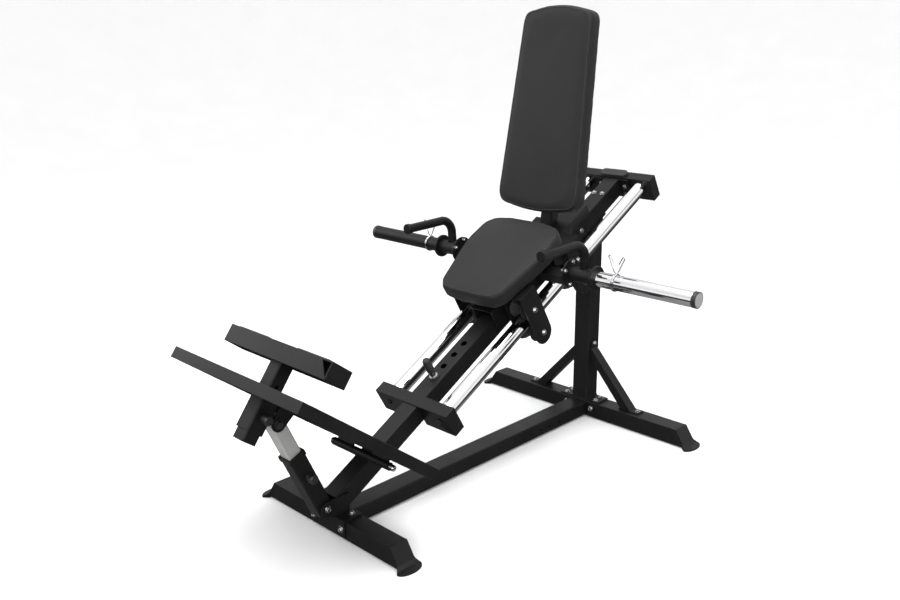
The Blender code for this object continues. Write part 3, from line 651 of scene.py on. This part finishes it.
bolt = {
    "head": 0.0082, "height": 0.0056, "washer": 0.0112, "plate": 0.0017,
    "socket": 0.0045, "end": 0.0045, "shaft": 0.0058,
}


class Kit:
    # small pieces gathered into one mesh for each body and finish
    def __init__(self):
        self.shapes = {}

    def shape(self, name, finish, body):
        key = (name, finish, body)
        if key not in self.shapes:
            self.shapes[key] = bmesh.new()
        return self.shapes[key]

    def done(self):
        made = 0
        for (name, finish, body), shape in self.shapes.items():
            finishPiece(shape, name, finish, body)
            made += 1
        return made


kit = Kit()


def addWasher(shape, space, rim, thick):
    ring = [(0, 0), (rim, 0), (rim, thick * 0.7), (rim - 0.0005, thick), (0, thick)]
    addTurned(shape, ring, space, 28)


def addBolt(shape, spot, direction, size=1.0):
    # domed hexagon head with a shallow dish on a flat washer
    space = facing(spot, direction) @ Matrix.Scale(size, 4)
    rim = bolt["washer"]
    thick = bolt["plate"]
    head = bolt["head"]
    top = thick + bolt["height"]
    addWasher(shape, space, rim, thick)
    crown = [(0, thick), (head, thick), (head, top - 0.0014), (head * 0.90, top - 0.0003)]
    crown = crown + [(head * 0.80, top), (head * 0.55, top), (head * 0.45, top - 0.0006), (0, top - 0.0008)]
    addTurned(shape, crown, space, 36, 6)


def addNut(shape, spot, direction, size=1.0):
    # hexagon nut with the bolt's end standing out of it
    space = facing(spot, direction) @ Matrix.Scale(size, 4)
    rim = bolt["washer"] * 0.94
    thick = bolt["plate"]
    head = bolt["head"]
    top = thick + bolt["height"] * 1.1
    end = bolt["end"]
    addWasher(shape, space, rim, thick)
    body = [(0, thick), (head * 0.93, thick), (head, thick + 0.0008)]
    body = body + [(head, top - 0.0008), (head * 0.92, top), (0, top)]
    addTurned(shape, body, space, 36, 6)
    threads = [(0, top)]
    for n in range(4):
        level = top + 0.0004 + n * 0.0009
        threads = threads + [(end, level), (end * 0.90, level + 0.00045)]
    threads.append((0, top + 0.0042))
    addTurned(shape, threads, space, 20)


def addSocketBolt(shape, spot, direction, size=1.0):
    # round cap head with a hexagon socket, sunk in its hole
    space = facing(spot, direction) @ Matrix.Scale(size, 4)
    head = bolt["head"]
    key = bolt["socket"]
    outer = [(0, 0), (head, 0), (head, 0.0046), (head - 0.0008, 0.0054), (key, 0.0054)]
    addTurned(shape, outer + [(key, 0.0020), (0, 0.0016)], space, 36)


def acrossBolt(body, spot, side, space, name, size=1.0, nut=False, finish="zinc"):
    make = addNut if nut else addBolt
    make(kit.shape(name, finish, body), space @ Vector(spot), (side, 0, 0), size)


def rollerBolts():
    # bolt heads on the outer cheeks and nuts on the inner ones
    for word, side in sides:
        for place in ("lower", "upper"):
            bracket = "roller_bracket_" + place + "_" + word
            low, high = span(bracket, rail)
            outer = high.x if side > 0 else low.x
            inner = low.x if side > 0 else high.x
            for level in ("top", "under"):
                wheel = middle("roller_" + place + "_" + word + "_" + level, rail)
                ends = ((outer, side, 1.0, False), (inner, -side, 0.9, True))
                for x, way, size, nut in ends:
                    acrossBolt("carriage", (x, wheel.y, wheel.z), way, rail, "rollerBolts", size, nut)


discBolt = {"reach": 0.0375, "thick": 0.006, "size": 0.78, "turns": (52, 128, 229, 311)}


def hornBolts():
    # four bolts through each arm disc, with nuts on the two that clear the cross member
    for word, side in sides:
        low, high = span("horn_arm_" + word, rail)
        inner = low.x if side > 0 else high.x
        outer = inner + side * discBolt["thick"]
        centre = (low + high) / 2
        size = discBolt["size"]
        for n, degrees in enumerate(discBolt["turns"]):
            turn = math.radians(degrees)
            y = centre.y + discBolt["reach"] * math.cos(turn)
            z = centre.z + discBolt["reach"] * math.sin(turn)
            acrossBolt("carriage", (outer, y, z), side, rail, "hornBolts", size)
            if n < 2:
                acrossBolt("carriage", (inner, y, z), -side, rail, "hornBolts", size, True)


def boltTo(name, body, space, spot, direction, size=1.0, finish="zinc"):
    way = space.to_3x3() @ Vector(direction)
    addBolt(kit.shape(name, finish, body), space @ Vector(spot), way, size)


frameBolts = {
    "bracketFace": (0.066, 0.038),         # x and z on the front saddle's face
    "bracketTop": (0.060, 0.010),          # x, and y behind the stabiliser's middle
    "saddleThick": 0.005,
    "baseTop": (0.068, 0.018),             # x, and y to each side of the stabiliser's middle
    "baseFace": 0.058,
    "baseThick": 0.0062,
    "braceRise": 0.013,
    "braceTab": 0.013,
    "braceThick": 0.0045,
    "tabThick": 0.0048,
    "flange": (0.053, -0.030, 0.036),      # x, depth under the rail's top, and the step down
    "flangeInset": 0.0065,
    "railTop": (0.018, 0.097),             # x, and distance before the upper crossbar
    "tubeDrop": 0.004,
    "channel": (0.0452, 0.070, 0.024),     # x, and distances from the channel's end and edge
}


def baseBolts():
    # bolts of the front saddle, the upright's foot and the two braces
    frontLow, frontHigh = span("front_stabiliser")
    rearLow, rearHigh = span("rear_stabiliser")
    x, z = frameBolts["bracketFace"]
    centreY = middle("front_stabiliser").y
    rearY = middle("rear_stabiliser").y
    for word, side in sides:
        face = frontLow.y - frameBolts["saddleThick"]
        boltTo("baseBolts", "frame", world, (side * x, face, z), (0, -1, 0))
        top = frontHigh.z + frameBolts["saddleThick"]
        topX, topY = frameBolts["bracketTop"]
        boltTo("baseBolts", "frame", world, (side * topX, centreY + topY, top), (0, 0, 1))
        top = rearHigh.z + frameBolts["baseThick"]
        baseX, baseY = frameBolts["baseTop"]
        for shift in (-baseY, baseY):
            spot = (side * baseX, rearY + shift, top)
            boltTo("baseBolts", "frame", world, spot, (0, 0, 1), 0.9)
        spot = (side * frameBolts["baseFace"], rearLow.y, z)
        boltTo("baseBolts", "frame", world, spot, (0, -1, 0))
        braceLow, braceHigh = span("brace_" + word)
        y = (braceLow.y + braceHigh.y) / 2
        inner = braceLow.x if side > 0 else braceHigh.x
        outer = braceHigh.x if side > 0 else braceLow.x
        spot = (inner + side * frameBolts["braceThick"], y, braceHigh.z - frameBolts["braceRise"])
        boltTo("baseBolts", "frame", world, spot, (side, 0, 0), 0.95)
        spot = (outer - side * frameBolts["braceTab"], y, rearHigh.z + frameBolts["tabThick"])
        boltTo("baseBolts", "frame", world, spot, (0, 0, 1), 0.85)


def railBolts():
    # bolts of the upper flange and the rail's top, and the cap screws of the crossbars
    barLow, barHigh = span("upper_crossbar", rail)
    lowLow = span("lower_crossbar", rail)[0]
    x, drop, step = frameBolts["flange"]
    topX, before = frameBolts["railTop"]
    railHigh = span("main_rail", rail)[1]
    flangeFace = railHigh.y - frameBolts["flangeInset"]
    for word, side in sides:
        for level in (drop, drop - step):
            spot = (side * x, flangeFace, railHigh.z + level)
            boltTo("railBolts", "frame", rail, spot, (0, -1, 0), 0.9)
        tube = middle("guide_tube_" + word, rail)
        for low, direction in ((lowLow.y, -1), (barHigh.y, 1)):
            spot = rail @ Vector((tube.x, low, tube.z - frameBolts["tubeDrop"]))
            way = rail.to_3x3() @ Vector((0, direction, 0))
            addSocketBolt(kit.shape("capScrews", "plastic", "frame"), spot, way, 1.1)
        spot = (side * topX, barLow.y - before, railHigh.z)
        boltTo("railBolts", "frame", rail, spot, (0, 0, 1), 0.8)


def carriageBolts():
    # bolt and washer on each side of the channel, near its upper end
    low, high = span("carriage_frame", rail)
    x, before, rise = frameBolts["channel"]
    for word, side in sides:
        spot = (side * x, high.y - before, low.z + rise)
        boltTo("channelBolts", "carriage", rail, spot, (side, 0, 0), 0.95)


pivots = {"reach": 0.0388, "ear": (0.0319, 0.026, 0.024), "earSize": 1.28}


def pivotBolt():
    # shoulder bolt of the strut's lower pivot, with its nut
    centre = middle("strut_pivot_pin")
    reach = pivots["reach"]
    shape = bmesh.new()
    shaft = facing(centre + Vector((-reach, 0, 0)), (1, 0, 0))
    radius = bolt["shaft"]
    addTurned(shape, [(0, 0), (radius, 0), (radius, 2 * reach), (0, 2 * reach)], shaft, 32)
    addBolt(shape, centre + Vector((reach - 0.0002, 0, 0)), (1, 0, 0), 1.05)
    addNut(shape, centre + Vector((-reach + 0.0002, 0, 0)), (-1, 0, 0), 0.95)
    piece = finishPiece(shape, "strutPivotBolt", "zinc", bodyOf["strut_pivot_pin"])
    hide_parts("strut_pivot_pin")


def earBolts():
    # dark bolt and nut on the plate's ears, over the strut's top pin
    low = span("footplate_ears", plate)[0]
    x, y, z = pivots["ear"]
    for side, nut in ((1, False), (-1, True)):
        spot = (side * x, low.y + y, low.z + z)
        acrossBolt("footplate_tilt", spot, side, plate, "earBolts", pivots["earSize"], nut, "plastic")


def hingeCaps():
    # domed bright ends pressed on the hinge pin
    low, high = span("hinge_pin")
    centre = (low + high) / 2
    dome = [(0, 0.0003), (0.0095, 0.0003), (0.0098, 0.0016), (0.0090, 0.0038)]
    dome = dome + [(0.0068, 0.0056), (0.0036, 0.0066), (0, 0.0069)]
    for end, side in ((low.x, -1), (high.x, 1)):
        space = facing(Vector((end, centre.y, centre.z)), (side, 0, 0))
        scale = Matrix.Scale(1.0 if side > 0 else 0.8, 4)
        addTurned(kit.shape("hingeCaps", "chrome", "frame"), dome, space @ scale, 32)


rollerBolts()
hornBolts()
hingeCaps()
baseBolts()
railBolts()
carriageBolts()
pivotBolt()
earBolts()


# wire collars on the horns

coil = {
    "wire": 0.0020, "turns": 2.0, "pitch": 0.0042, "clear": 0.0003,
    "rise": 0.056, "spread": 0.027, "loop": 0.0042, "leg": 0.026,
}


def makeCollar(word):
    # one wire: short leg, finger loop, two turns round the horn, finger loop, short leg
    centre = middle("horn_sleeve_" + word, rail)
    collar = middle("spring_collar_" + word, rail)
    horn = rail @ Vector((collar.x, centre.y, centre.z))
    low, high = span("horn_sleeve_" + word, rail)
    radius = (high.y - low.y) / 2 + coil["wire"] + coil["clear"]
    up = Vector((0, 0, 1))
    rear = Vector((0, 1, 0))

    def loopAt(lean, start):
        foot = horn + across * start + up * radius
        tip = horn + across * (start + lean * coil["spread"]) + up * (radius + coil["rise"])
        along = (tip - foot).normalized()
        inward = -lean * (across - along * across.dot(along)).normalized()
        route = [foot + along * coil["rise"] * share for share in (0.12, 0.35, 0.65, 0.88)]
        for n in range(9):
            turn = math.pi * n / 8
            bend = tip - along * coil["loop"] + inward * coil["loop"]
            swing = along * math.sin(turn) - inward * math.cos(turn)
            route.append(bend + swing * coil["loop"])
        foldBack = route[-1]
        for share in (0.5, 1.0):
            route.append(foldBack - along * coil["leg"] * share + inward * 0.0012 * share)
        return route

    reach = coil["pitch"] * coil["turns"] / 2
    ring = []
    steps = int(40 * coil["turns"])
    for n in range(steps + 1):
        turn = math.pi / 2 + 2 * math.pi * coil["turns"] * n / steps
        shift = reach - 2 * reach * n / steps
        swing = rear * math.cos(turn) + up * math.sin(turn)
        ring.append(horn + across * shift + swing * radius)
    route = list(reversed(loopAt(1, reach))) + ring[2:-2] + loopAt(-1, -reach)
    shape = bmesh.new()
    sweep(shape, route, lambda share: coil["wire"], 10)
    node = "spring_collar_" + word
    piece = finishPiece(shape, "springCollar" + word.capitalize(), "wire", bodyOf[node], 50)
    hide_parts(node)


for word, side in sides:
    makeCollar(word)


# horn ends, plugs, mats and knobs

ending = {"band": 0.0125, "bandLift": 0.0007, "disc": 0.0222, "thick": 0.0016, "dot": 0.0026}


def makeHornEnds():
    # dark plastic cap with a pale turned disc in its face; the left horn's cap is dark all over
    for word, side in sides:
        low, high = span("horn_sleeve_" + word, rail)
        tip = high.x if side > 0 else low.x
        radius = (high.y - low.y) / 2
        centre = (low + high) / 2
        space = facing(rail @ Vector((tip, centre.y, centre.z)), (side, 0, 0))
        outer = radius + ending["bandLift"]
        band = ending["band"]
        thick = ending["thick"]
        cap = [(0, 0.0003), (radius + 0.00015, 0.0003), (radius + 0.00015, -band), (outer, -band)]
        cap = cap + [(outer, 0.0006), (outer - 0.0006, 0.0012), (0, 0.0012)]
        addTurned(kit.shape("hornCaps", "plastic", "carriage"), cap, space, 48)
        disc = ending["disc"]
        dot = ending["dot"]
        top = 0.0012 + thick
        face = [(0, 0.0013), (disc, 0.0013), (disc, top - 0.0005), (disc - 0.0006, top), (dot * 1.5, top)]
        face = face + [(dot, top - 0.0010), (0, top - 0.0012)]
        finish = "silver" if side > 0 else "plastic"
        addTurned(kit.shape("hornDiscs", finish, "carriage"), face, space, 48)


mat = {"x": (0.072, 0.208), "thick": 0.0030, "ribs": 9, "rim": 0.004, "clear": 0.0002}


def makeMats():
    # two ribbed rubber mats on the block above the footplate
    low, high = span("calf_block", plate)
    near = low.y + 0.010
    far = high.y - 0.012
    for word, side in sides:
        rows = []
        steps = mat["ribs"] * 6
        for n in range(steps + 1):
            share = n / steps
            wave = 0.5 + 0.5 * math.cos(2 * math.pi * mat["ribs"] * share)
            edge = min(share, 1 - share) * steps
            lift = mat["thick"] * (0.62 + 0.38 * wave) if edge >= 1 else mat["thick"] * 0.55
            rows.append((near + (far - near) * share, lift))
        start, end = mat["x"]
        columns = [start, start + 0.0006, start + mat["rim"], end - mat["rim"], end - 0.0006, end]
        shape = bmesh.new()
        grid = []
        for c, column in enumerate(columns):
            line = []
            for y, lift in rows:
                level = lift if c in (2, 3) else mat["thick"] * (0.95 if c in (1, 4) else 0.70)
                spot = Vector((side * column, y, high.z + mat["clear"] + level))
                line.append(shape.verts.new(plate @ spot))
            grid.append(line)
        for first, second in zip(grid, grid[1:]):
            for a, b, c, d in zip(first, first[1:], second[1:], second):
                shape.faces.new((a, b, c, d))
        edge = bmesh.ops.extrude_edge_only(shape, edges=[e for e in shape.edges if e.is_boundary])
        for vertex in edge["geom"]:
            if isinstance(vertex, bmesh.types.BMVert):
                local = plate.inverted() @ vertex.co
                local.z = high.z + mat["clear"]
                vertex.co = plate @ local
        bmesh.ops.contextual_create(shape, geom=[e for e in shape.edges if e.is_boundary])
        finishPiece(shape, "gripMat" + word.capitalize(), "rubber", bodyOf["calf_block"], 50)


def addPlug(shape, space, halfX, halfY, thick):
    # square tube plug: thin lip with a raised, bevelled middle
    rings = []
    steps = ((0.0, 0.0), (0.0, thick * 0.6), (0.0012, thick), (0.0060, thick), (0.0072, thick - 0.0008))
    for inset, level in steps:
        ring = []
        x = halfX - inset
        y = halfY - inset
        r = 0.0035
        for cx, cy, start in ((1, 1, 0), (-1, 1, 1), (-1, -1, 2), (1, -1, 3)):
            for n in range(5):
                turn = math.pi / 2 * (start + n / 4)
                spot = Vector((cx * (x - r), cy * (y - r), level))
                spot = spot + Vector((math.cos(turn), math.sin(turn), 0)) * r
                ring.append(shape.verts.new(space @ spot))
        rings.append(ring)
    joinRings(shape, rings)
    shape.faces.new(rings[0])
    shape.faces.new(rings[-1])


def makePlugs():
    low, high = span("calf_post", plate)
    centre = (low + high) / 2
    under = plate @ Matrix.Translation((centre.x, centre.y, low.z)) @ Matrix.Rotation(math.pi, 4, "X")
    half = (high.x - low.x) / 2
    addPlug(kit.shape("postPlug", "plastic", bodyOf["calf_post"]), under, half, half, 0.0025)


bead = {"radius": 0.0019, "ripple": 0.00035, "every": 0.0030, "proud": 0.0006}


handleFoot = {"horn": 0.025, "tube": 0.0158, "back": 0.003}


def addBead(name, body, corners, closed=False):
    # stacked ripples of a weld along a route
    route = []
    for first, second in zip(corners, corners[1:] + corners[:1] if closed else corners[1:]):
        count = max(2, int((second - first).length / (bead["every"] / 3)))
        for n in range(count):
            route.append(first + (second - first) * n / count)
    if not closed:
        route.append(corners[-1])
    length = len(route) * bead["every"] / 3

    def radius(share):
        wave = math.sin(2 * math.pi * share * length / bead["every"])
        wander = noise.noise(Vector((share * 40.0, length, 0.0)))
        return bead["radius"] + bead["ripple"] * (0.6 * wave + 0.8 * wander)

    sweep(kit.shape(name, "black", body), route, radius, 8, closed)


def squareRoute(space, centreX, centreY, halfX, halfY, level):
    spots = ((-1, -1), (1, -1), (1, 1), (-1, 1))
    return [space @ Vector((centreX + a * halfX, centreY + b * halfY, level)) for a, b in spots]


def makeWelds():
    # beads round the sleeve under the plate, the upright's foot and the handles' feet
    sleeveLow, sleeveHigh = span("footplate_sleeve", plate)
    centre = (sleeveLow + sleeveHigh) / 2
    wide = (sleeveHigh.x - sleeveLow.x) / 2
    under = span("footplate", plate)[1].z - 0.0060
    route = squareRoute(plate, centre.x, centre.y, wide, wide, under)
    addBead("plateWelds", "footplate_tilt", route, True)
    column = middle("brace_left").y
    inner = min(abs(v) for v in (span("brace_right")[0].x, span("brace_left")[1].x)) - 0.0003
    level = span("rear_stabiliser")[1].z + frameBolts["baseThick"] + bead["proud"]
    route = squareRoute(world, 0.0, column, inner, inner, level)
    addBead("baseWelds", "frame", route, True)
    horn, tube = handleFoot["horn"], handleFoot["tube"]
    for word, side in sides:
        arm = middle("horn_sleeve_" + word)
        x = middle("handle_" + word).x
        ring = []
        for n in range(20):
            turn = 2 * math.pi * n / 20
            away = tube * math.sin(turn)
            height = math.sqrt(horn ** 2 - away ** 2) + bead["proud"]
            spot = Vector((x + tube * math.cos(turn), arm.y + handleFoot["back"] + away, arm.z + height))
            ring.append(spot)
        addBead("handleWelds", "carriage", ring, True)


stopCollar = {"bore": 0.0152, "radius": 0.0185, "height": 0.0034}


def makeStopCollar():
    # rubber ring that the stop pin's chrome shoulder sits in
    centre = middle("stop_pin", rail)
    spot = rail @ Vector((centre.x, centre.y, span("main_rail", rail)[1].z))
    space = facing(spot, railOut)
    bore = stopCollar["bore"]
    outer = stopCollar["radius"]
    top = stopCollar["height"]
    ring = [(bore, 0.0002), (outer, 0.0002), (outer, top - 0.001)]
    ring = ring + [(outer - 0.001, top), (bore + 0.0006, top), (bore, top - 0.0006)]
    addTurned(kit.shape("stopRing", "rubber", "stop_pin_set"), ring + ring[:1], space, 40)


makeHornEnds()
makeMats()
makePlugs()
makeWelds()
makeStopCollar()
print("fasteners and trim made,", kit.done())


# edges of the pressed and cut steel

edges = {
    "wide": 0.0011, "thin": 0.0005, "angle": 34,
    "thinNodes": ("hinge", "roller", "horn", "handle", "guide", "spring", "stop", "knob", "pin"),
}


def roundEdges():
    # small roll on every hard corner, so that it catches the light
    for name, node in nodes.items():
        if name in ("seat_pad", "back_pad"):
            continue
        weld = node.modifiers.new("weld", "WELD")
        weld.merge_threshold = 0.00005
        roll = node.modifiers.new("roll", "BEVEL")
        roll.width = edges["thin"] if any(word in name for word in edges["thinNodes"]) else edges["wide"]
        roll.segments = 2
        roll.limit_method = "ANGLE"
        roll.angle_limit = math.radians(edges["angle"])
        roll.harden_normals = True


roundEdges()
print("edges rolled")


# stage, lights and camera

studio = {"floorRadius": 6.0, "wallRadius": 11.0, "wallHeight": 5.0, "sky": 1.15}
view = {
    "place": (2.0466, -2.1167, 1.4796),
    "yaw": 45.6474,
    "pitch": -16.9774,
    "roll": -0.887,
    "lens": 37.193,
    "shift": (0.0141, 0.0101),
}
lamps = (
    {"name": "overhead", "place": (0.3, -0.4, 4.2), "size": (3.6, 3.6), "power": 150},
    {"name": "front", "place": (3.2, -3.4, 2.8), "size": (2.4, 2.0), "power": 90},
    {"name": "fill", "place": (-3.4, -1.6, 2.4), "size": (2.4, 2.4), "power": 40},
)


def makeStage():
    paper = Recipe("paleFloorPaper", {})
    cloud = paper.ramp(paper.noise(3.0, 3.0), 0.3, 0.7)
    colour = paper.blend(cloud, (0.88, 0.88, 0.88), (0.90, 0.90, 0.90))
    finish = paper.done(colour, 0.85 + 0.05 * cloud, paper.bump(paper.noise(220.0, 2.0), 0.0003, 0.1))
    shape = bmesh.new()
    profile = [(0.0, 0.0), (studio["floorRadius"], 0.0)]
    for n in range(1, 13):
        turn = math.pi / 2 * n / 12
        reach = studio["floorRadius"] + (studio["wallRadius"] - studio["floorRadius"]) * math.sin(turn)
        profile.append((reach, studio["wallHeight"] * (1 - math.cos(turn))))
    addTurned(shape, profile, world, 96)
    mesh = bpy.data.meshes.new("studioFloor")
    shape.to_mesh(mesh)
    shape.free()
    mesh.shade_smooth()
    mesh.materials.append(finish)
    floor = bpy.data.objects.new("studioFloor", mesh)
    bpy.context.scene.collection.objects.link(floor)
    floor.visible_glossy = False        # plated parts mirror the room and its darker ground instead


roomTones = (                     # height of the direction, brightness
    (-1.0, 0.20), (-0.62, 0.30), (-0.45, 0.05), (-0.16, 0.03), (-0.05, 0.45),
    (0.02, 0.95), (0.30, 1.0), (0.40, 0.55), (0.55, 0.60), (0.66, 1.0), (1.0, 1.0),
)


def makeLights():
    sky = bpy.data.worlds.new("softRoom")
    sky.use_nodes = True
    tree = sky.node_tree
    way = tree.nodes.new("ShaderNodeTexCoord")
    split = tree.nodes.new("ShaderNodeSeparateXYZ")
    level = tree.nodes.new("ShaderNodeMapRange")
    level.inputs["From Min"].default_value = -1.0
    room = tree.nodes.new("ShaderNodeValToRGB")
    while len(room.color_ramp.elements) < len(roomTones):
        room.color_ramp.elements.new(0.5)
    for element, (height, tone) in zip(room.color_ramp.elements, roomTones):
        element.position = height / 2 + 0.5
        element.color = (tone, tone, tone, 1.0)
    tree.links.new(way.outputs["Generated"], split.inputs[0])
    tree.links.new(split.outputs["Z"], level.inputs["Value"])
    tree.links.new(level.outputs["Result"], room.inputs["Fac"])
    tree.links.new(room.outputs["Color"], tree.nodes["Background"].inputs["Color"])
    tree.nodes["Background"].inputs["Strength"].default_value = studio["sky"]
    bpy.context.scene.world = sky
    bpy.context.scene.view_settings.view_transform = "Standard"
    for lamp in lamps:
        light = bpy.data.lights.new(lamp["name"], "AREA")
        light.shape = "RECTANGLE"
        light.size, light.size_y = lamp["size"]
        light.energy = lamp["power"]
        bulb = bpy.data.objects.new(lamp["name"], light)
        bulb.location = lamp["place"]
        aim = Vector((0.0, 0.0, 0.5)) - Vector(lamp["place"])
        bulb.rotation_euler = aim.to_track_quat("-Z", "Y").to_euler()
        bpy.context.scene.collection.objects.link(bulb)


def makeCamera():
    lens = bpy.data.cameras.new("camera")
    lens.lens = view["lens"]
    lens.sensor_width = 36.0
    lens.shift_x, lens.shift_y = view["shift"]
    camera = bpy.data.objects.new("camera", lens)
    turn = Matrix.Rotation(math.radians(view["yaw"]), 4, "Z")
    tilt = Matrix.Rotation(math.radians(90 + view["pitch"]), 4, "X")
    lean = Matrix.Rotation(math.radians(view["roll"]), 4, "Z")
    camera.matrix_world = Matrix.Translation(view["place"]) @ turn @ tilt @ lean
    bpy.context.scene.collection.objects.link(camera)
    bpy.context.scene.camera = camera


makeStage()
makeLights()
makeCamera()
print("stage, lights and camera set")
